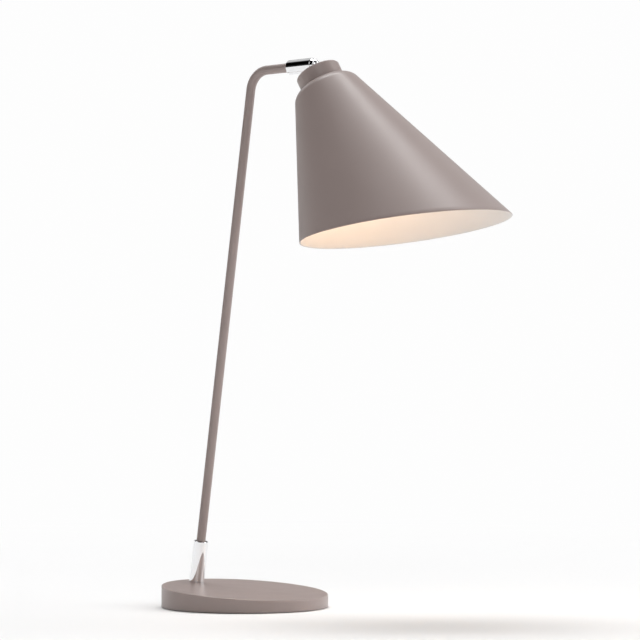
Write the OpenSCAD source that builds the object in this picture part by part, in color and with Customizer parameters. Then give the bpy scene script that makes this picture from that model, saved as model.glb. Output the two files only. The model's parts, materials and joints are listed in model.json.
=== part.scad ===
// Desk lamp with a tilted cone shade on a bent tube arm.
// Millimetres, +Z up. The origin is the centre of the base's underside, and the lamp faces +X.
// Everything lies on the plane y = 0, which the lamp is symmetrical about.

/* [Base] */
// Radius of the round base
base_r = 75; // [65:1:90]
// Height of the base's top face above the table at the centre
base_mid_h = 15.9; // [15:0.1:20]
// Slope of the base's top face, down towards the front
base_slope = 4.05; // [2:0.05:5]
// Wall of the pressed cover
cover_wall = 1.5; // [1.2:0.1:2]
// Rounding of the cover's top edge
cover_edge_r = 1.2; // [0.6:0.1:1.5]
// Thickness of the foam pad under the base
pad_h = 1; // [0.8:0.1:1.2]
// Thickness of the steel bottom plate
plate_h = 2; // [1.8:0.1:2.2]

/* [Arm] */
// Where the lower arm's centre line meets the table
arm_foot_x = -59.2; // [-62:0.1:-56]
// Forward lean of the lower arm
arm_lean = 8.05; // [4:0.05:12]
// Rise of the upper arm towards its tip
arm_rise = 1.45; // [0:0.05:5]
// Outer radius of the arm tube, over its paint
tube_r = 4.1; // [4:0.05:4.2]
// Radius of the tube's bore
tube_bore_r = 3; // [2.8:0.1:3.2]
// Radius of the arm's bend, at its centre line
bend_r = 19; // [15:0.5:30]
// Outer radius of the chrome ferrule at the foot of the arm
ferrule_r = 6.75; // [6.5:0.05:8]
// Distance from the table to the ferrule's top, along the arm
ferrule_top = 58; // [50:0.5:80]

/* [Swivel] */
// Centre of the ball joint, ahead of the base's centre
ball_x = 78.3; // [60:0.1:90]
// Height of the ball joint's centre
ball_z = 483.6; // [440:0.1:520]
// Radius of the ball
ball_r = 5.1; // [5.1:0.1:5.1]
// Outer radius of the chrome sleeve
sleeve_r = 6.5; // [6.3:0.05:6.8]
// How far the sleeve reaches behind the ball's centre
sleeve_back = 28; // [27:0.1:34]
// How far behind the ball's centre the sleeve steps down to its nose
sleeve_step = 0.9; // [0.5:0.1:3]
// How far the sleeve's nose reaches past the ball's centre
sleeve_lip = 2.2; // [2:0.1:2.6]

/* [Shade] */
// Angle of the shade's centre line from the vertical
shade_tilt = 29.38; // [20:0.05:40]
// Half angle of the cone
cone_angle = 21.37; // [18:0.02:24]
// Drop from the ball's centre to the shade's shoulder
shoulder_drop = 21; // [20:0.1:22]
// Radius at which the cone's side would meet the shoulder's plane
shoulder_r = 27.6; // [26:0.1:30]
// Rounding between the shoulder and the cone
shoulder_round = 12; // [3:0.5:14]
// Drop from the ball's centre to the mouth, along the centre line
mouth_drop = 173.45; // [150:0.1:190]
// Tilt of the mouth's plane, up towards the front
mouth_tilt = 8.48; // [4:0.01:12]
// Thickness of the spun sheet
sheet = 0.8; // [0.6:0.1:1]
// Outer radius of the cap over the lampholder
cap_r = 20.2; // [19:0.1:22]
// Rounding of the cap's top edge
cap_edge_r = 1.5; // [1:0.1:3]
// Drop from the ball's centre to the cap's top face
cap_drop = 7.25; // [7.2:0.05:7.6]

/* [Hidden] */
$fn = 96;

paint = "#8c817d";
chrome = "#d9dbde";
steel = "#a9adb2";
brass = "#b99a52";
cast_iron = "#4a4a4c";
black_plastic = "#26262a";
white_plastic = "#eceae4";
nylon = "#dcd8cc";

eps = 0.01;       // overshoot of a cut past the face that it opens
far = 400;        // larger than the whole head
tall = 100;       // longer than anything that it cuts inside the base, the arm or the holder
slip = 0.05;      // radial play of a running fit or of a thread drawn plain
gap = 0.3;        // room between pieces that move past each other
swell = 0.04;     // how much a bend's wall stands over the straight lengths that it joins
overlap = 0.3;    // how far those lengths reach into the bend
washer_edge = 0.1; // chamfer on the edges of a washer

// Base stack
cover_foot_z = 0.6;
plate_z = pad_h;
cavity_z = plate_z + plate_h;
inner_r = base_r - cover_wall;
boss_r = 4.5;
boss_circle_r = 55;
boss_angles = [0, 120, 240];
screw_r = 2;
screw_l = 8;
screw_head_r = 3.8;
chamber_half_w = 17;
chamber_front_x = -26;
inlet_z = 10;
inlet_r = 3.1;
grommet_neck_r = 4.5;
grommet_flange_r = 6;
grommet_flange_h = 1.2;
grommet_neck_l = 1.8;

// Stem through the base, measured from the table along the arm
nipple_r = 5;
nipple_bore_r = 3.5;
nipple_top = 28.2;
nipple_end = 12.3;
nut_h = 3.2;
nut_low = 12.9;
lock_washer_h = 0.8;

// Lead inside the base
lead_r = 1.4;
core_r = 0.6;
lead_bend_r = 5;
lead_z = nipple_end * cos(arm_lean) - lead_bend_r * (1 + sin(arm_lean));
lead_bend_x = arm_foot_x + nipple_end * sin(arm_lean) + lead_bend_r * cos(arm_lean);
sheath_l = 2;

// Terminal block
block = [16, 18, 10];
block_x = -38;
way_y = 2.9;
barrel_r = 2.4;
barrel_bore_r = 1.5;
clamp_r = 1;
core_end_x = block_x - block.x / 2 + 2;

// Arm: the corner where the two straight centre lines would meet, and the bend between them
rise_slope = tan(arm_rise);
lean_slope = tan(arm_lean);
corner_x = (arm_foot_x + (ball_z - ball_x * rise_slope) * lean_slope) / (1 - lean_slope * rise_slope);
corner_z = ball_z + (corner_x - ball_x) * rise_slope;
bend_turn = 90 - arm_lean - arm_rise;
bend_tangent = bend_r * tan(bend_turn / 2);
lower_arm_top = round(100 * (corner_z / cos(arm_lean) - bend_tangent)) / 100;
upper_arm_start = bend_tangent - (ball_x - corner_x) / cos(arm_rise);

// Swivel, measured from the ball's centre along the upper arm, forwards positive
sleeve_bore_r = 5.2;
gland_back = -sleeve_back + 0.4;
gland_front = -17.3;
collar_back = -17;
tube_end = -12.8;
spring_back = tube_end + gap;
spring_count = 3;
spring_pitch = 1.2;
seat_back = spring_back + spring_count * spring_pitch;
seat_front = -2.8;
seat_bore_r = 2.2;
stop_q = (collar_back + tube_end) / 2;
stop_r = 1;
stop_floor_r = 4.4;
stop_half_turn = 106;

// Ball and its stem, measured from the ball's centre down the shade's centre line
neck_r = 2.9;
slot_half_w = neck_r + gap;
channel_r = 1.9;
flange_r = 3.9;
flange_h = 0.5;
stem_r = 2.95;
stem_end = 15;
tilt_back = 22;
tilt_up = 85;
channel_margin = 24;
channel_half_w = channel_r + 0.2;
arm_lead_gap = 4.2;
head_lead_gap = 2.6;

// Lampholder, on the same scale as the stem
holder_r = 14;
holder_wall = 1.8;
holder_top = cap_drop + sheet;
holder_roof = 2.2;
holder_cap_end = 19.5;
washer_h = 0.6;
holder_nut_h = 3;
spigot_top = 15.6;
holder_end = 45;
shell_top = 25.5;
shell_end = 43.4;
shell_out_r = 8;
shell_in_r = 7.3;
lead_end = 18;
shade_hole_r = holder_r + gap;
ring_r = 20;
ring_h = 6;

// Bulb, on the same scale
bulb_tip = 25;
bulb_thread_r = 6.9;
bulb_cap_end = 44;
bulb_neck_end = 66;
bulb_neck_r = 17.5;
globe_r = 22.5;
globe_drop = 81;
bulb_wall = 1.2;

// --- Places ---

// Carries its children to the lower arm's centre line, +Z up the arm, s from the table
module on_arm(s) {
  translate([arm_foot_x, 0, 0]) rotate([0, arm_lean, 0]) translate([0, 0, s]) children();
}

// Carries its children to the upper arm's centre line, +Z forwards, +X down, q from the ball
module on_tip(q) {
  translate([ball_x, 0, ball_z]) rotate([0, 90 - arm_rise, 0]) translate([0, 0, q]) children();
}

// Carries its children to the shade's centre line, +Z away from the ball, +X to the rear
module on_head(drop) {
  translate([ball_x, 0, ball_z]) rotate([0, 180 - shade_tilt, 0]) translate([0, 0, drop]) children();
}

module at_bosses() {
  for (a = boss_angles) rotate([0, 0, a]) translate([boss_circle_r, 0, 0]) children();
}

// --- Shared shapes ---

// Ring with small chamfers on its outer edges
module ring(r, bore, h, edge = 0.3) {
  rotate_extrude() polygon([
    [bore, 0], [r - edge, 0], [r, edge], [r, h - edge], [r - edge, h], [bore, h]
  ]);
}

module hex_nut(flats, bore, h) {
  difference() {
    cylinder(r = flats / 2 / cos(30), h = h, $fn = 6);
    translate([0, 0, -eps]) cylinder(r = bore, h = h + 2 * eps);
  }
}

// Straight rod between two points
module rod(from, to, r) {
  way = to - from;
  translate(from) rotate([0, acos(way.z / norm(way)), atan2(way.y, way.x)]) cylinder(r = r, h = norm(way));
}

// Everything below the base's top face, lowered by depth
module below_top(depth) {
  translate([0, 0, base_mid_h]) rotate([0, base_slope, 0])
    translate([0, 0, -depth - tall]) cylinder(r = tall, h = tall);
}

// As below_top(0), with the rim of the sloping face rounded over
module rounded_top() {
  rim = base_r + 0.1;
  translate([0, 0, base_mid_h]) rotate([0, base_slope, 0]) rotate_extrude() {
    translate([0, -tall]) square([rim - cover_edge_r, tall]);
    translate([rim - cover_edge_r, -cover_edge_r]) circle(r = cover_edge_r);
    polygon([
      [0, -cover_edge_r], [rim, -cover_edge_r], [rim + base_r / 2, -cover_edge_r - base_r / 2],
      [rim + base_r / 2, -tall], [0, -tall]
    ]);
  }
}

// Section of a tube, or of a solid rod where bore is 0
module section(r, bore) {
  difference() {
    circle(r = r);
    if (bore > 0) circle(r = bore);
  }
}

// Bend in the plane y = 0 about the origin, through turn degrees from the angle from.
// It is swelled a hair over the straight lengths, so that their ends lie wholly inside its walls.
module tube_bend(r, bore, bend, from, turn) {
  rotate([90, 0, 0]) rotate([0, 0, from]) rotate_extrude(angle = turn)
    translate([bend, 0]) section(r + swell, max(bore - swell, 0));
}

// Tube or rod along the arm's centre line, from s on the lower arm to q on the upper arm
module arm_line(r, bore, s, q) {
  on_arm(0) {
    translate([0, 0, s]) linear_extrude(lower_arm_top + overlap - s) section(r, bore);
    translate([bend_r, 0, lower_arm_top]) {
      tube_bend(r, bore, bend_r, 180 - bend_turn, bend_turn);
      rotate([90, 0, 0]) rotate([0, 0, 180 - bend_turn]) translate([bend_r, overlap, 0])
        rotate([90, 0, 0]) linear_extrude(q - upper_arm_start + overlap) section(r, bore);
    }
  }
}

// --- Base ---

module base_cover() {
  end_room = 0.6;
  color(paint) difference() {
    union() {
      difference() {
        intersection() {
          translate([0, 0, cover_foot_z]) cylinder(r = base_r, h = tall, $fn = 180);
          rounded_top();
        }
        intersection() {
          translate([0, 0, -eps]) cylinder(r = inner_r, h = tall, $fn = 180);
          below_top(cover_wall);
        }
      }
      intersection() {
        at_bosses() translate([0, 0, cavity_z]) cylinder(r = boss_r, h = tall);
        below_top(cover_wall / 2);
      }
    }
    at_bosses() translate([0, 0, cavity_z - eps]) cylinder(r = screw_r + slip, h = screw_l - plate_h + end_room);
    on_arm(0) cylinder(r = nipple_r + 2 * slip, h = nipple_top + ferrule_r);
    translate([-base_r - cover_wall, 0, inlet_z]) rotate([0, 90, 0])
      cylinder(r = grommet_neck_r + slip, h = 3 * cover_wall);
  }
}

module base_weight() {
  side_room = 1;
  color(cast_iron) difference() {
    intersection() {
      translate([0, 0, cavity_z]) cylinder(r = inner_r - side_room, h = tall, $fn = 180);
      below_top(cover_wall + gap);
    }
    at_bosses() translate([0, 0, cavity_z - eps]) cylinder(r = boss_r + gap, h = tall);
    translate([chamber_front_x - base_r, -chamber_half_w, 0]) cube([base_r, 2 * chamber_half_w, tall]);
  }
}

module base_plate() {
  side_room = 0.2;
  color(steel) difference() {
    translate([0, 0, plate_z]) ring(inner_r - side_room, 0, plate_h);
    at_bosses() translate([0, 0, plate_z - eps]) {
      cylinder(r = screw_r + slip, h = plate_h + 2 * eps);
      cylinder(r1 = screw_head_r + slip, r2 = screw_r, h = screw_head_r - screw_r + slip);
    }
  }
}

module base_pad() {
  inset = 5;
  edge = 0.2;
  color(black_plastic) ring(base_r - inset, 0, pad_h, edge);
}

module base_screws() {
  drive_r = 1.3;
  drive_depth = 1.2;
  tip_edge = 0.4;
  color(steel) at_bosses() translate([0, 0, plate_z]) difference() {
    rotate_extrude() polygon([
      [0, 0], [screw_head_r, 0], [screw_r, screw_head_r - screw_r], [screw_r, screw_l - tip_edge],
      [screw_r - tip_edge, screw_l], [0, screw_l]
    ]);
    translate([0, 0, -eps]) cylinder(r = drive_r, h = drive_depth, $fn = 6);
  }
}

module cable_grommet() {
  color(black_plastic) translate([-base_r - grommet_flange_h, 0, inlet_z]) rotate([0, 90, 0]) {
    inner_flange = grommet_flange_h + grommet_neck_l;
    edge = 0.5;
    taper = 0.6;
    rotate_extrude() polygon([
      [inlet_r, 0], [grommet_flange_r - edge, 0], [grommet_flange_r, edge],
      [grommet_flange_r, grommet_flange_h], [grommet_neck_r, grommet_flange_h],
      [grommet_neck_r, inner_flange], [grommet_flange_r, inner_flange],
      [grommet_flange_r - taper, inner_flange + grommet_flange_h], [inlet_r, inner_flange + grommet_flange_h]
    ]);
  }
}

// --- Stem ---

module stem_ferrule() {
  lip_bore_r = 5.3;
  lip_depth = 1.4;
  color(chrome) difference() {
    on_arm(0) difference() {
      ring(ferrule_r, 0, ferrule_top, 0.5);
      translate([0, 0, -eps]) cylinder(r = nipple_r + slip, h = nipple_top + eps);
      cylinder(r = tube_r + slip, h = tall);
      translate([0, 0, ferrule_top - lip_depth]) cylinder(r = lip_bore_r, h = tall);
      grub_place() cylinder(r = screw_r + slip, h = tall);
    }
    below_top(0);
  }
}

// Radial line of the grub screw on the rear of the ferrule
module grub_place() {
  translate([0, 0, (nipple_top + ferrule_top) / 2]) rotate([0, -90, 0]) children();
}

module ferrule_grub_screw() {
  length = ferrule_r - tube_r - 0.45;
  socket_r = 1.1;
  color(steel) on_arm(0) grub_place() translate([0, 0, tube_r + slip / 2]) difference() {
    cylinder(r = screw_r, h = length);
    translate([0, 0, length / 2]) cylinder(r = socket_r, h = length, $fn = 6);
  }
}

module stem_nipple() {
  color(steel) on_arm(nipple_end) ring(nipple_r, nipple_bore_r, nipple_top - nipple_end, 0.4);
}

// Wedge between the nut's square seat and the sloping cover
module bevel_washer() {
  washer_r = 9;
  blank_h = 5;
  color(steel) intersection() {
    on_arm(nut_low + nut_h + lock_washer_h) ring(washer_r, nipple_r + 2 * slip, blank_h, washer_edge);
    below_top(cover_wall);
  }
}

module stem_lock_washer() {
  washer_r = 7.6;
  color(steel) on_arm(nut_low + nut_h) ring(washer_r, nipple_r + 2 * slip, lock_washer_h, washer_edge);
}

module stem_nut() {
  flats = 14;
  color(steel) on_arm(nut_low) hex_nut(flats, nipple_r + slip, nut_h);
}

// --- Wiring in the base ---

module terminal_block() {
  well_r = 2;
  groove_w = 2;
  groove_h = 2;
  color(white_plastic) translate([block_x, 0, cavity_z]) difference() {
    translate([-block.x / 2, -block.y / 2, 0]) cube(block);
    for (way = [-1, 1]) translate([0, way * way_y, lead_z - cavity_z]) rotate([0, 90, 0])
      cylinder(r = barrel_r + slip, h = block.x + 1, center = true);
    at_terminal_screws() cylinder(r = well_r, h = block.z);
    translate([-groove_w / 2, -block.y / 2 - 1, block.z - groove_h]) cube([groove_w, block.y + 2, groove_h + 1]);
  }
}

// The four terminal screws' places on the block, from the barrels' centre line upwards
module at_terminal_screws() {
  for (way = [-1, 1], end = [-1, 1]) translate([end * block.x / 4, way * way_y, lead_z - cavity_z]) children();
}

module terminal_inserts() {
  length = block.x - 2;
  color(brass) translate([block_x, 0, cavity_z]) difference() {
    for (way = [-1, 1]) translate([0, way * way_y, lead_z - cavity_z]) rotate([0, 90, 0]) difference() {
      cylinder(r = barrel_r, h = length, center = true);
      cylinder(r = barrel_bore_r, h = length + 1, center = true);
    }
    at_terminal_screws() cylinder(r = clamp_r + slip, h = block.z);
  }
}

module terminal_screws() {
  bite = core_r + slip;
  shank_l = 2.4;
  head_r = 1.7;
  head_h = 1.4;
  slot_w = 0.5;
  slot_depth = 0.5;
  color(steel) translate([block_x, 0, cavity_z]) at_terminal_screws() difference() {
    union() {
      translate([0, 0, bite]) cylinder(r = clamp_r, h = shank_l + head_h / 2);
      translate([0, 0, bite + shank_l]) cylinder(r = head_r, h = head_h);
    }
    translate([-tall / 2, -slot_w / 2, bite + shank_l + head_h - slot_depth]) cube([tall, slot_w, 1]);
  }
}

// Sheathed lead from the terminal block up the arm to the ball, with its two cores
module arm_lead() {
  core_spread = 0.2;
  color(black_plastic) {
    arm_line(lead_r, 0, nipple_end - overlap, -arm_lead_gap);
    on_arm(0) translate([lead_bend_r, 0, nipple_end]) {
      tube_bend(lead_r, 0, lead_bend_r, 180, 90 + arm_lean);
      rotate([90, 0, 0]) rotate([0, 0, 270 + arm_lean]) translate([lead_bend_r, -overlap, 0])
        rotate([-90, 0, 0]) linear_extrude(sheath_l) section(lead_r, 0);
    }
    for (way = [-1, 1])
      rod([lead_bend_x + sheath_l / 2, way * core_spread, lead_z], [core_end_x, way * way_y, lead_z], core_r);
  }
}

// --- Arm ---

module arm_tube() {
  color(paint) arm_line(tube_r, tube_bore_r, nipple_top, tube_end);
}

module arm_collar() {
  groove_w = 2 * stop_r + 2 * gap;
  color(brass) on_tip(0) difference() {
    translate([0, 0, collar_back]) ring(sleeve_bore_r - 0.1, tube_r + slip, tube_end - collar_back, 0.2);
    translate([0, 0, stop_q - groove_w / 2]) rotate([0, 0, 180 - stop_half_turn])
      rotate_extrude(angle = 2 * stop_half_turn) translate([stop_floor_r, 0]) square([2, groove_w]);
  }
}

// --- Swivel ---

// Sleeve, stepped down at its front to a nose that holds the ball
module swivel_sleeve() {
  rear_edge = 0.8;
  front_edge = 0.3;
  nose_r = 6;
  lip_r = 5.6;
  lip_round = 0.5;
  color(chrome) on_tip(0) difference() {
    rotate_extrude() {
      polygon([
        [0, -sleeve_back], [sleeve_r - rear_edge, -sleeve_back], [sleeve_r, -sleeve_back + rear_edge],
        [sleeve_r, -sleeve_step - front_edge], [sleeve_r - front_edge, -sleeve_step], [nose_r, -sleeve_step],
        [lip_r, sleeve_lip - lip_round], [lip_r - lip_round, sleeve_lip], [0, sleeve_lip]
      ]);
      translate([lip_r - lip_round, sleeve_lip - lip_round]) circle(r = lip_round);
    }
    translate([0, 0, -sleeve_back - 1]) cylinder(r = sleeve_bore_r, h = sleeve_back + 1);
    sphere(r = ball_r + slip);
    rotate([0, 90, 0]) cylinder(r = slot_half_w, h = tall);
    translate([0, -slot_half_w, 0]) cube([tall, 2 * slot_half_w, tall]);
    translate([0, 0, stop_q]) rotate([0, -90, 0]) cylinder(r = stop_r + slip, h = tall);
  }
}

module sleeve_gland() {
  color(chrome) on_tip(gland_back) ring(sleeve_bore_r - slip, tube_r + slip, gland_front - gland_back, 0.3);
}

module swivel_stop_screw() {
  length = sleeve_r - stop_floor_r - 2 * gap;
  color(steel) on_tip(stop_q) rotate([0, -90, 0]) translate([0, 0, stop_floor_r + gap]) difference() {
    cylinder(r = stop_r, h = length);
    translate([-2, -0.2, length - 0.5]) cube([4, 0.4, 1]);
  }
}

module ball_seat() {
  color(nylon) on_tip(0) difference() {
    translate([0, 0, seat_back]) ring(sleeve_bore_r - 0.1, seat_bore_r, seat_front - seat_back, 0.1);
    sphere(r = ball_r + slip);
  }
}

module disc_springs() {
  thick = 0.4;
  rise = spring_pitch - thick - 0.04;
  color(steel) for (i = [0:spring_count - 1]) on_tip(spring_back + (i + 0.5) * spring_pitch)
    rotate([180 * (i % 2), 0, 0]) translate([0, 0, -(rise + thick) / 2]) rotate_extrude() polygon([
      [2.6, rise], [4.9, 0], [4.9, thick], [2.6, rise + thick]
    ]);
}

// --- Head ---

module swivel_ball() {
  stem_edge = 0.4;
  color(chrome) on_head(0) difference() {
    union() {
      sphere(r = ball_r);
      rotate_extrude() polygon([
        [0, 0], [neck_r, 0], [neck_r, cap_drop - flange_h], [flange_r, cap_drop - flange_h],
        [flange_r, cap_drop], [stem_r, cap_drop], [stem_r, stem_end - stem_edge],
        [stem_r - stem_edge, stem_end], [0, stem_end]
      ]);
    }
    cylinder(r = channel_r, h = tall);
    cable_channel();
  }
}

// Fan-shaped way for the lead through the back of the ball, open over the whole tilt
module cable_channel() {
  lead_at_rest = 90 - arm_rise + shade_tilt;
  fan = tilt_back + tilt_up + 2 * channel_margin;
  last = lead_at_rest + tilt_up + channel_margin;
  rotate([90, 0, 0]) rotate([0, 0, 90 - last]) rotate_extrude(angle = fan)
    translate([0, -channel_half_w]) square([2 * ball_r, 2 * channel_half_w]);
}

// Solid bounded by the shade's outer face moved inwards by inset
module shade_solid(inset) {
  round_r = shoulder_round - inset;
  apex_drop = shoulder_drop - shoulder_r / tan(cone_angle);
  round_z = shoulder_drop + shoulder_round;
  round_x = ((round_z - apex_drop) * sin(cone_angle) - shoulder_round) / cos(cone_angle);
  end_z = mouth_drop + 80;
  end_x = (end_z - apex_drop) * tan(cone_angle) - inset / cos(cone_angle);
  rotate_extrude($fn = 180) {
    polygon([
      [0, shoulder_drop + inset], [round_x, shoulder_drop + inset],
      [round_x + round_r * cos(cone_angle), round_z - round_r * sin(cone_angle)],
      [end_x, end_z], [0, end_z]
    ]);
    translate([round_x, round_z]) circle(r = round_r);
  }
}

module shade() {
  color(paint) difference() {
    on_head(0) difference() {
      shade_solid(0);
      shade_solid(sheet);
      cylinder(r = shade_hole_r, h = shoulder_drop + shoulder_round);
    }
    on_head(mouth_drop) rotate([0, shade_tilt - 180 - mouth_tilt, 0])
      translate([-far / 2, -far / 2, -far]) cube(far);
  }
}

module shade_cap() {
  color(paint) on_head(cap_drop) difference() {
    cap_solid(0);
    cap_solid(sheet);
    translate([0, 0, -1]) cylinder(r = stem_r + slip, h = 4);
  }
}

// Solid of the cap, moved inwards by inset
module cap_solid(inset) {
  round_r = cap_edge_r - inset;
  height = shoulder_drop - cap_drop;
  rotate_extrude() {
    translate([0, inset]) square([cap_r - cap_edge_r, height - inset + sign(inset)]);
    translate([0, cap_edge_r]) square([cap_r - inset, height - cap_edge_r + sign(inset)]);
    translate([cap_r - cap_edge_r, cap_edge_r]) circle(r = round_r);
  }
}

module holder_cap() {
  color(black_plastic) on_head(holder_top) difference() {
    ring(holder_r, stem_r + slip, holder_cap_end - holder_top, 0.6);
    translate([0, 0, holder_roof]) cylinder(r = holder_r - holder_wall, h = tall);
  }
}

module holder_washer() {
  washer_r = 6.2;
  color(steel) on_head(holder_top + holder_roof) ring(washer_r, stem_r + slip, washer_h, washer_edge);
}

module holder_nut() {
  flats = 10;
  color(steel) on_head(holder_top + holder_roof + washer_h) hex_nut(flats, stem_r + slip, holder_nut_h);
}

module holder_body() {
  color(black_plastic) on_head(0) difference() {
    union() {
      translate([0, 0, spigot_top]) cylinder(r = holder_r - holder_wall - slip, h = 6);
      translate([0, 0, holder_cap_end]) ring(holder_r, 0, holder_end - holder_cap_end, 0.5);
    }
    translate([0, 0, spigot_top - eps]) cylinder(r = channel_r, h = lead_end - spigot_top);
    translate([0, 0, bulb_tip - 3]) cylinder(r = shell_in_r, h = tall);
    translate([0, 0, shell_top]) cylinder(r = shell_out_r + slip, h = tall);
  }
}

module holder_shell() {
  color(brass) on_head(shell_top) ring(shell_out_r, shell_in_r, shell_end - shell_top, 0.1);
}

module holder_contact() {
  seat = bulb_tip - 3;
  disc_r = 4;
  disc_h = 0.6;
  pin_r = 1.6;
  pin_h = 2.6;
  color(brass) on_head(seat) {
    cylinder(r = disc_r, h = disc_h);
    cylinder(r = pin_r, h = pin_h);
  }
}

module shade_ring() {
  edge = 0.6;
  grip_r = 1.2;
  color(white_plastic) on_head(shoulder_drop + sheet) difference() {
    ring(ring_r, holder_r + slip, ring_h, edge);
    for (a = [0:30:330]) rotate([0, 0, a]) translate([ring_r + grip_r / 2, 0, -eps]) cylinder(r = grip_r, h = tall);
  }
}

module head_lead() {
  color(black_plastic) on_head(head_lead_gap) cylinder(r = lead_r, h = lead_end - head_lead_gap - slip);
}

// --- Bulb ---

module bulb_cap() {
  foot = 2;
  foot_r = 4.2;
  shoulder_w = 0.8;
  wall = 0.6;
  length = bulb_cap_end - bulb_tip - foot;
  color(steel) on_head(bulb_tip + foot) rotate_extrude() polygon([
    [foot_r, 0], [bulb_thread_r - shoulder_w, 0], [bulb_thread_r, wall + shoulder_w],
    [bulb_thread_r, length], [bulb_thread_r - wall, length],
    [bulb_thread_r - wall, foot], [foot_r, shoulder_w]
  ]);
}

module bulb_contact() {
  color(brass) on_head(bulb_tip) rotate_extrude() polygon([
    [0, 0], [1.8, 0], [2.4, 0.6], [2.4, 1.2], [4.1, 2.2], [4.1, 2.8], [0, 2.8]
  ]);
}

module bulb_body() {
  inner_r1 = bulb_thread_r - bulb_wall;
  color(white_plastic) on_head(0) difference() {
    rotate_extrude() polygon([
      [0, bulb_cap_end], [bulb_thread_r + 0.6, bulb_cap_end], [bulb_thread_r + 1.4, bulb_cap_end + 2],
      [bulb_neck_r, bulb_neck_end - 2], [bulb_neck_r, bulb_neck_end], [0, bulb_neck_end]
    ]);
    translate([0, 0, bulb_cap_end - eps]) cylinder(r = inner_r1, h = 4);
    translate([0, 0, bulb_cap_end + 2])
      cylinder(r1 = inner_r1, r2 = bulb_neck_r - bulb_wall, h = bulb_neck_end - bulb_cap_end - 2 + eps);
  }
}

module bulb_board() {
  thick = 1.4;
  board_r = 14;
  chip = [3, 3, 0.7];
  color(white_plastic) on_head(bulb_neck_end - thick - 1) {
    cylinder(r = board_r, h = thick);
    for (a = [0:60:300]) rotate([0, 0, a]) translate([board_r * 0.6, 0, thick])
      translate([-chip.x / 2, -chip.y / 2, 0]) cube(chip);
  }
}

// Opal dome: a globe cut where its side meets the neck
module bulb_diffuser() {
  color(white_plastic) on_head(0) difference() {
    dome(globe_r, bulb_neck_r);
    translate([0, 0, -eps]) dome(globe_r - bulb_wall, bulb_neck_r - bulb_wall);
  }
}

module dome(r, foot_r) {
  rotate_extrude() intersection() {
    union() {
      translate([0, globe_drop]) circle(r = r);
      polygon([[0, bulb_neck_end], [foot_r, bulb_neck_end], [r * 0.94, globe_drop - r * 0.34], [0, globe_drop]]);
    }
    translate([0, bulb_neck_end]) square([2 * r, tall]);
  }
}

base_cover();
base_weight();
base_plate();
base_pad();
base_screws();
stem_ferrule();
ferrule_grub_screw();
stem_nipple();
bevel_washer();
stem_lock_washer();
stem_nut();
cable_grommet();
terminal_block();
terminal_inserts();
terminal_screws();
arm_tube();
arm_lead();
arm_collar();
swivel_sleeve();
sleeve_gland();
swivel_stop_screw();
ball_seat();
disc_springs();
swivel_ball();
shade_cap();
holder_cap();
holder_washer();
holder_nut();
holder_body();
holder_shell();
holder_contact();
shade_ring();
shade();
head_lead();
bulb_cap();
bulb_contact();
bulb_body();
bulb_board();
bulb_diffuser();
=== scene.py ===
import json
import math

import bpy
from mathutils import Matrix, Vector


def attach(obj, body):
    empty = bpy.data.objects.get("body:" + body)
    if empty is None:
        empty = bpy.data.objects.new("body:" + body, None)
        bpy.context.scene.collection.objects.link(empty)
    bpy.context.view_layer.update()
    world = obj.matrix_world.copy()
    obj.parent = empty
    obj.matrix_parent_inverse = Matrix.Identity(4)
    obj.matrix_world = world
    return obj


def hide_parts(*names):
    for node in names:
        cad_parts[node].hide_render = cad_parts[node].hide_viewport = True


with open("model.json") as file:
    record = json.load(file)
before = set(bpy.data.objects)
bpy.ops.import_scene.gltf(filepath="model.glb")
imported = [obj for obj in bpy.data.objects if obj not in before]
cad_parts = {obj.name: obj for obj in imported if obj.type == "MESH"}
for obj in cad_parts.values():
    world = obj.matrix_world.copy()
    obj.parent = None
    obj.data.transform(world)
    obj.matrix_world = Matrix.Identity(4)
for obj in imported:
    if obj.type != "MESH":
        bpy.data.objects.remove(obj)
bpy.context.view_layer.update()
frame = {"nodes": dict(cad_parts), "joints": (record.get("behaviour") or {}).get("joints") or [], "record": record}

NODES = frame["nodes"]
JOINTS = {joint["name"]: joint for joint in frame["joints"]}
MM = 0.001
WHITE = (1, 1, 1, 1)


# ---- Camera, at the photograph's viewing angle ----

# Solved from the photograph's outlines. Place: degrees from -Y towards +X, metres from the origin along the
# floor, and metres above the floor
CAMERA_AZIMUTH, CAMERA_DISTANCE, CAMERA_HEIGHT = 38.45, 2.6, 0.2158
# Look: degrees from +Y towards -X, and degrees upwards
LOOK_TURN, LOOK_RISE = 36.96, 0.935
# Lens in millimetres, and clipping in metres
SENSOR_WIDTH, FOCAL_LENGTH = 36, 162.2
CLIP_START, CLIP_END = 0.05, 100


def make_camera():
    azimuth, turn, rise = (math.radians(angle) for angle in (CAMERA_AZIMUTH, LOOK_TURN, LOOK_RISE))
    data = bpy.data.cameras.new("camera")
    data.sensor_width = SENSOR_WIDTH
    data.lens = FOCAL_LENGTH
    data.clip_start, data.clip_end = CLIP_START, CLIP_END
    camera = bpy.data.objects.new("camera", data)
    camera.location = (
        CAMERA_DISTANCE * math.sin(azimuth), -CAMERA_DISTANCE * math.cos(azimuth), CAMERA_HEIGHT)
    look = Vector((-math.sin(turn) * math.cos(rise), math.cos(turn) * math.cos(rise), math.sin(rise)))
    camera.rotation_euler = look.to_track_quat("-Z", "Y").to_euler()
    bpy.context.scene.collection.objects.link(camera)
    bpy.context.scene.camera = camera


make_camera()


# ---- Shader node helpers ----

# Range of the noise that is spread over a finish's lowest to highest value
NOISE_LOW, NOISE_HIGH = 0.3, 0.7


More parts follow.
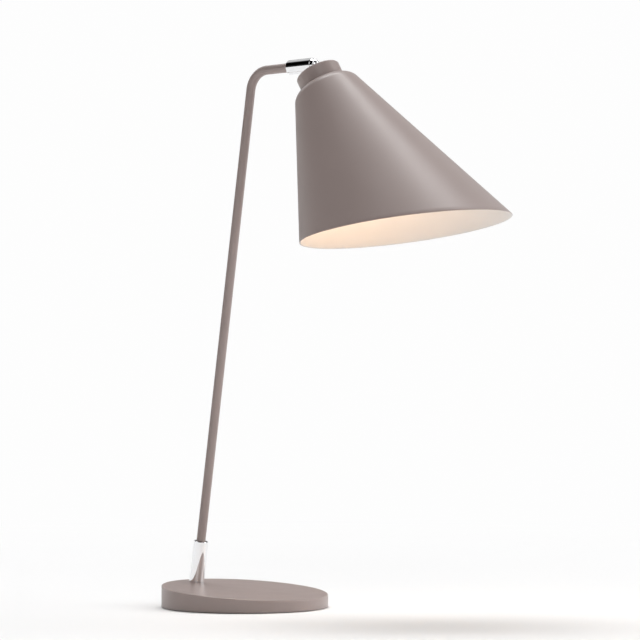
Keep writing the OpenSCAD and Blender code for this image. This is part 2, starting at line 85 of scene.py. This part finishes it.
class Shader:
    """A node tree built with short calls: each adds one node and links or sets its inputs by name."""

    def __init__(self, owner):
        owner.use_nodes = True
        self.tree = owner.node_tree
        self.tree.nodes.clear()

    def add(self, kind, inputs=None, **settings):
        node = self.tree.nodes.new(kind)
        for name, value in settings.items():
            setattr(node, name, value)
        for name, value in (inputs or {}).items():
            if isinstance(value, bpy.types.NodeSocket):
                self.tree.links.new(value, node.inputs[name])
            else:
                node.inputs[name].default_value = value
        return node

    def position(self):
        return self.add("ShaderNodeTexCoord").outputs["Object"]

    def noise(self, scale, detail):
        node = self.add("ShaderNodeTexNoise", {"Vector": self.position(), "Scale": scale, "Detail": detail})
        return node.outputs["Fac"]

    def remap(self, value, start, end, low, high, **settings):
        return self.add("ShaderNodeMapRange", {
            "Value": value, "From Min": start, "From Max": end, "To Min": low, "To Max": high},
            **settings).outputs["Result"]

    def fade(self, value, start, end, low, high):
        return self.remap(value, start, end, low, high, interpolation_type="SMOOTHSTEP")

    def ramp(self, value, dark, light):
        node = self.add("ShaderNodeValToRGB", {"Fac": value})
        stops = ((NOISE_LOW, dark), (NOISE_HIGH, light))
        for element, (place, colour) in zip(node.color_ramp.elements, stops):
            element.position = place
            element.color = (*colour, 1)
        return node.outputs["Color"]

    def bump(self, height, depth):
        node = self.add("ShaderNodeBump", {"Height": height, "Strength": 1.0, "Distance": depth})
        return node.outputs["Normal"]

    def calc(self, operation, *inputs):
        return self.add("ShaderNodeMath", dict(enumerate(inputs)), operation=operation).outputs["Value"]

    def dot(self, vector, way):
        node = self.add("ShaderNodeVectorMath", {0: vector, 1: way}, operation="DOT_PRODUCT")
        return node.outputs["Value"]

    def glow(self, strength):
        return self.add("ShaderNodeEmission", {"Color": WHITE, "Strength": strength}).outputs["Emission"]

    def sky(self, strength):
        return self.add("ShaderNodeBackground", {"Color": WHITE, "Strength": strength}).outputs["Background"]

    def mix(self, share, first, second):
        return self.add("ShaderNodeMixShader", {0: share, 1: first, 2: second}).outputs["Shader"]

    def principled(self, inputs):
        return self.add("ShaderNodeBsdfPrincipled", inputs).outputs["BSDF"]

    def surface(self, shader):
        self.add("ShaderNodeOutputMaterial", {"Surface": shader})


# ---- Finishes ----

# Fine detail of each noise, and how much finer the roughness varies than the colour
COLOUR_DETAIL, ROUGHNESS_DETAIL, RELIEF_DETAIL = 4.0, 3.0, 2.0
ROUGHNESS_FINER = 2.3

# Set so that the paint's colour in the render agrees with the photograph's
PAINT = (0.356, 0.287, 0.27)

# Colour, its spread, its noise scale, roughness range, relief's noise scale and depth in metres, metallic
METAL, PLAIN = 1.0, 0.0
FINISH_ROWS = {
    "taupe_paint": (PAINT, 0.012, 25, (0.33, 0.38), 1100, 0.000012, PLAIN),
    "chrome": ((0.86, 0.86, 0.87), 0.01, 60, (0.03, 0.07), 400, 0.0000002, METAL),
    "cast_iron": ((0.1, 0.1, 0.105), 0.2, 90, (0.6, 0.8), 600, 0.0002, PLAIN),
    "zinc_steel": ((0.55, 0.56, 0.58), 0.06, 120, (0.25, 0.4), 1500, 0.00001, METAL),
    "nickel": ((0.66, 0.62, 0.56), 0.04, 120, (0.15, 0.25), 1500, 0.000005, METAL),
    "brass": ((0.72, 0.53, 0.25), 0.05, 120, (0.18, 0.3), 1200, 0.000005, METAL),
    "black_foam": ((0.03, 0.03, 0.032), 0.3, 300, (0.8, 0.95), 1800, 0.0002, PLAIN),
    "black_rubber": ((0.02, 0.02, 0.021), 0.15, 90, (0.45, 0.6), 1200, 0.00003, PLAIN),
    "lead_sheath": ((0.025, 0.025, 0.027), 0.15, 90, (0.35, 0.5), 1200, 0.00002, PLAIN),
    "black_plastic": ((0.022, 0.022, 0.024), 0.1, 80, (0.3, 0.42), 1600, 0.00002, PLAIN),
    "white_plastic": ((0.8, 0.79, 0.76), 0.02, 60, (0.35, 0.45), 1600, 0.00001, PLAIN),
    "nylon": ((0.72, 0.7, 0.63), 0.03, 80, (0.4, 0.5), 1600, 0.00001, PLAIN),
    "shade_white": ((0.62, 0.61, 0.6), 0.008, 30, (0.4, 0.5), 900, 0.00002, PLAIN),
}

# Opal diffuser of the bulb: its shell, and the warm light that comes through with faint clouds in it
OPAL_SHELL, OPAL_ROUGHNESS = (0.9, 0.9, 0.88, 1), 0.5
BULB_COLOUR, BULB_STRENGTH = (1.0, 0.66, 0.4), 16.8
CLOUD_SCALE, CLOUD_DETAIL, CLOUD_SHADE = 60.0, 2.0, 0.97


def shade_of(colour, factor):
    return tuple(c * factor for c in colour)


def finish(name, colour, spread, scale, roughness, relief_scale, relief_depth, metallic):
    """Material whose colour, roughness and fine relief vary a little over the surface."""
    made = bpy.data.materials.new(name)
    s = Shader(made)
    tone = s.ramp(s.noise(scale, COLOUR_DETAIL), shade_of(colour, 1 - spread), shade_of(colour, 1 + spread))
    rough = s.remap(s.noise(scale * ROUGHNESS_FINER, ROUGHNESS_DETAIL), NOISE_LOW, NOISE_HIGH, *roughness)
    normal = s.bump(s.noise(relief_scale, RELIEF_DETAIL), relief_depth)
    s.surface(s.principled({"Base Color": tone, "Roughness": rough, "Normal": normal, "Metallic": metallic}))
    return made


def opal(name):
    made = bpy.data.materials.new(name)
    s = Shader(made)
    clouds = s.noise(CLOUD_SCALE, CLOUD_DETAIL)
    tone = s.ramp(clouds, shade_of(BULB_COLOUR, CLOUD_SHADE), BULB_COLOUR)
    s.surface(s.principled({
        "Base Color": OPAL_SHELL, "Roughness": OPAL_ROUGHNESS,
        "Emission Color": tone, "Emission Strength": BULB_STRENGTH}))
    return made


FINISHES = {name: finish(name, *row) for name, row in FINISH_ROWS.items()}
FINISHES["opal_diffuser"] = opal("opal_diffuser")

for subpart in frame["record"]["subparts"]:
    slots = NODES[subpart["node"]].data.materials
    slots.clear()
    slots.append(FINISHES[subpart["material_slot"]])


# ---- Shade: a spun cone of thin sheet, taupe outside and white inside, with a rounded edge at its mouth ----

CONE = math.radians(21.37)
SHEET = 0.8 * MM
HALF_SHEET = SHEET / 2
# Flat top: its drop, its hole, and the radius at which the cone would meet it if there were no round
TOP_DROP, HOLE_R, CORNER_R = 21 * MM, 14.3 * MM, 27.6 * MM
ROUND_R = 12 * MM
ROUND_TURN = math.pi / 2 - CONE
# Centre of the round: its drop, and its distance from the centre line
ROUND_DROP = TOP_DROP + ROUND_R
APEX_DROP = TOP_DROP - CORNER_R / math.tan(CONE)
ROUND_OUT = ((ROUND_DROP - APEX_DROP) * math.sin(CONE) - ROUND_R) / math.cos(CONE)
# The mouth's plane: where it crosses the centre line, and its lean
MOUTH_DROP, MOUTH_TILT = 173.45 * MM, math.radians(8.48)

AROUND_STEPS, FLAT_STEPS, ROUND_STEPS, CONE_STEPS, LIP_STEPS = 192, 4, 14, 40, 6
SKIN_POINTS = FLAT_STEPS + ROUND_STEPS + CONE_STEPS + 1
SHARP_ANGLE = math.radians(50)
OUTER, INNER = 1, -1


class HeadFrame:
    """The shade's own axes: drop runs down its centre line from the ball, and around turns about it."""

    def __init__(self):
        self.origin = Vector(JOINTS["shade_spin"]["pos_m"])
        axis = Vector(JOINTS["shade_spin"]["axis"]).normalized()
        self.down = axis if axis.z < 0 else -axis
        self.side = Vector((0, 1, 0))
        self.front = self.side.cross(self.down).normalized()
        self.mouth = self.point(MOUTH_DROP, 0, 0)
        self.mouth_up = Vector((-math.sin(MOUTH_TILT), 0, math.cos(MOUTH_TILT)))

    def outward(self, around):
        return self.front * math.cos(around) + self.side * math.sin(around)

    def point(self, drop, radius, around):
        return self.origin + self.down * drop + self.outward(around) * radius


def shade_outline(head, around):
    """The sheet cut at one angle: outer skin down to the mouth, rounded lip, inner skin back up."""
    along = head.down * math.cos(CONE) + head.outward(around) * math.sin(CONE)
    across = head.outward(around) * math.cos(CONE) - head.down * math.sin(CONE)

    def on_round(turn, radius):
        return head.point(ROUND_DROP - radius * math.cos(turn), ROUND_OUT + radius * math.sin(turn), around)

    start = on_round(ROUND_TURN, ROUND_R - HALF_SHEET)
    reach = ((head.mouth - start).dot(head.mouth_up) + HALF_SHEET) / along.dot(head.mouth_up)
    end = start + along * reach

    def skin(side):
        drop = TOP_DROP + (HALF_SHEET - side * HALF_SHEET)
        flat = [head.point(drop, HOLE_R + (ROUND_OUT - HOLE_R) * i / FLAT_STEPS, around)
                for i in range(FLAT_STEPS)]
        rounded = [on_round(ROUND_TURN * i / ROUND_STEPS, ROUND_R - HALF_SHEET + side * HALF_SHEET)
                   for i in range(ROUND_STEPS)]
        straight = [start.lerp(end, i / CONE_STEPS) + across * side * HALF_SHEET for i in range(CONE_STEPS + 1)]
        return flat + rounded + straight

    turns = [math.pi * i / LIP_STEPS for i in range(1, LIP_STEPS)]
    lip = [end + (across * math.cos(turn) + along * math.sin(turn)) * HALF_SHEET for turn in turns]
    return skin(OUTER) + lip + skin(INNER)[::-1]


def make_shade():
    head = HeadFrame()
    outlines = [shade_outline(head, 2 * math.pi * step / AROUND_STEPS) for step in range(AROUND_STEPS)]
    count = len(outlines[0])
    white_from = SKIN_POINTS + LIP_STEPS // 2
    faces, white = [], []
    for i in range(AROUND_STEPS):
        here, beside = i * count, ((i + 1) % AROUND_STEPS) * count
        for j in range(count):
            k = (j + 1) % count
            faces.append((here + j, beside + j, beside + k, here + k))
            white.append(int(white_from <= j < count - 1))
    mesh = bpy.data.meshes.new("shade_spun")
    mesh.from_pydata([point for outline in outlines for point in outline], [], faces)
    mesh.materials.append(FINISHES["taupe_paint"])
    mesh.materials.append(FINISHES["shade_white"])
    mesh.polygons.foreach_set("material_index", white)
    mesh.polygons.foreach_set("use_smooth", [True] * len(faces))
    mesh.set_sharp_from_angle(angle=SHARP_ANGLE)
    mesh.update()
    piece = bpy.data.objects.new("shade_spun", mesh)
    bpy.context.scene.collection.objects.link(piece)
    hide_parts("shade")
    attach(piece, "head")


make_shade()


# ---- Studio ----

# Azimuth 0 is the camera's side, this many degrees clockwise from +X, seen from above
CAMERA_SIDE = 90 - CAMERA_AZIMUTH
RIGHT, BEHIND = 90, 180

# All angles are in degrees. The brightnesses below aren't chosen by hand: they come from least-squares
# fits of single lights to the photograph's tones, averaged and rounded.
# Overhead strip behind the lamp, from left to right: its elevation, the half width of its boxes, and for
# each box the angle to the right of the strip's middle and the brightness
OVERHEAD_RISE, OVERHEAD_WIDTH = 74, 8
OVERHEAD_BOXES = [(-15, 10.4), (0, 8.0), (12, 7.7), (36, 2.5)]
# Box behind the lamp: elevation, half width, brightness
REAR_RISE, REAR_WIDTH, REAR_BRIGHTNESS = 50, 12, 0.8
# Low boxes around the lamp: elevation, half width, and for each box the azimuth and the brightness
RING_RISE, RING_WIDTH = 28, 13
RING_BOXES = [(90, 4.0), (60, 0.6), (150, 0.8), (0, 2.55), (-150, 1.7)]
# Strips of light along the horizon: azimuth of the middle, brightness
HORIZON_STRIPS = [(120, 1.39), (180, 0.31), (-120, 0.07)]
# Sines of the elevations between which they fade out, and cosine of the turn from their middle to their end
HORIZON_FULL, HORIZON_GONE, HORIZON_END = 0.19, 0.29, 0.47

BACKDROP = 0.985
FLOOR_HALF = 30.0
FLOOR_WHITE = (0.875, 0.875, 0.875, 1)
# Metres from the origin between which the floor fades into the backdrop
FLOOR_LIT, FLOOR_GONE = 0.5, 1.4


def toward(azimuth, elevation):
    """Unit vector at an azimuth counted from the camera's side, positive to its right, and an elevation."""
    turn = math.radians(azimuth - CAMERA_SIDE)
    rise = math.radians(elevation)
    return (math.cos(turn) * math.cos(rise), math.sin(turn) * math.cos(rise), math.sin(rise))


def overhead(angle):
    """Unit vector to a place on the overhead strip, at an angle to the right of its middle."""
    aside = Vector(toward(RIGHT, 0)) * math.tan(math.radians(angle))
    return (Vector(toward(BEHIND, OVERHEAD_RISE)) + aside).normalized()


def soft_boxes():
    """Direction, half width and brightness of each soft box."""
    for angle, brightness in OVERHEAD_BOXES:
        yield overhead(angle), OVERHEAD_WIDTH, brightness
    yield toward(BEHIND, REAR_RISE), REAR_WIDTH, REAR_BRIGHTNESS
    for azimuth, brightness in RING_BOXES:
        yield toward(azimuth, RING_RISE), RING_WIDTH, brightness


def make_world():
    """Soft boxes and strips light the object, and the camera sees a plain white backdrop."""
    world = bpy.data.worlds.new("studio")
    bpy.context.scene.world = world
    s = Shader(world)
    direction = s.add("ShaderNodeTexCoord").outputs["Generated"]
    level = 0.0
    for way, half_width, brightness in soft_boxes():
        tight = math.log(2) / (1 - math.cos(math.radians(half_width)))
        fall = s.calc("EXPONENT", s.calc("MULTIPLY_ADD", s.dot(direction, way), tight, -tight))
        level = s.calc("MULTIPLY_ADD", fall, brightness, level)
    split = s.add("ShaderNodeSeparateXYZ", {"Vector": direction}).outputs
    flat = s.add("ShaderNodeCombineXYZ", {"X": split["X"], "Y": split["Y"]}).outputs["Vector"]
    level_way = s.add("ShaderNodeVectorMath", {0: flat}, operation="NORMALIZE").outputs["Vector"]
    low = s.fade(split["Z"], HORIZON_FULL, HORIZON_GONE, 1.0, 0.0)
    for azimuth, brightness in HORIZON_STRIPS:
        middle = s.fade(s.dot(level_way, toward(azimuth, 0)), HORIZON_END, 1.0, 0.0, brightness)
        level = s.calc("MULTIPLY_ADD", low, middle, level)
    seen = s.add("ShaderNodeLightPath").outputs["Is Camera Ray"]
    s.add("ShaderNodeOutputWorld", {"Surface": s.mix(seen, s.sky(level), s.sky(BACKDROP))})


def make_floor():
    corners = [(x * FLOOR_HALF, y * FLOOR_HALF, 0) for x, y in ((-1, -1), (1, -1), (1, 1), (-1, 1))]
    mesh = bpy.data.meshes.new("floor")
    mesh.from_pydata(corners, [], [(0, 1, 2, 3)])
    floor = bpy.data.objects.new("floor", mesh)
    bpy.context.scene.collection.objects.link(floor)
    made = bpy.data.materials.new("floor")
    s = Shader(made)
    away = s.add("ShaderNodeVectorMath", {0: s.position()}, operation="LENGTH").outputs["Value"]
    lit = s.add("ShaderNodeBsdfDiffuse", {"Color": FLOOR_WHITE}).outputs["BSDF"]
    s.surface(s.mix(s.fade(away, FLOOR_LIT, FLOOR_GONE, 0.0, 1.0), lit, s.glow(BACKDROP)))
    mesh.materials.append(made)


make_world()
make_floor()
bpy.context.scene.view_settings.view_transform = "Standard"
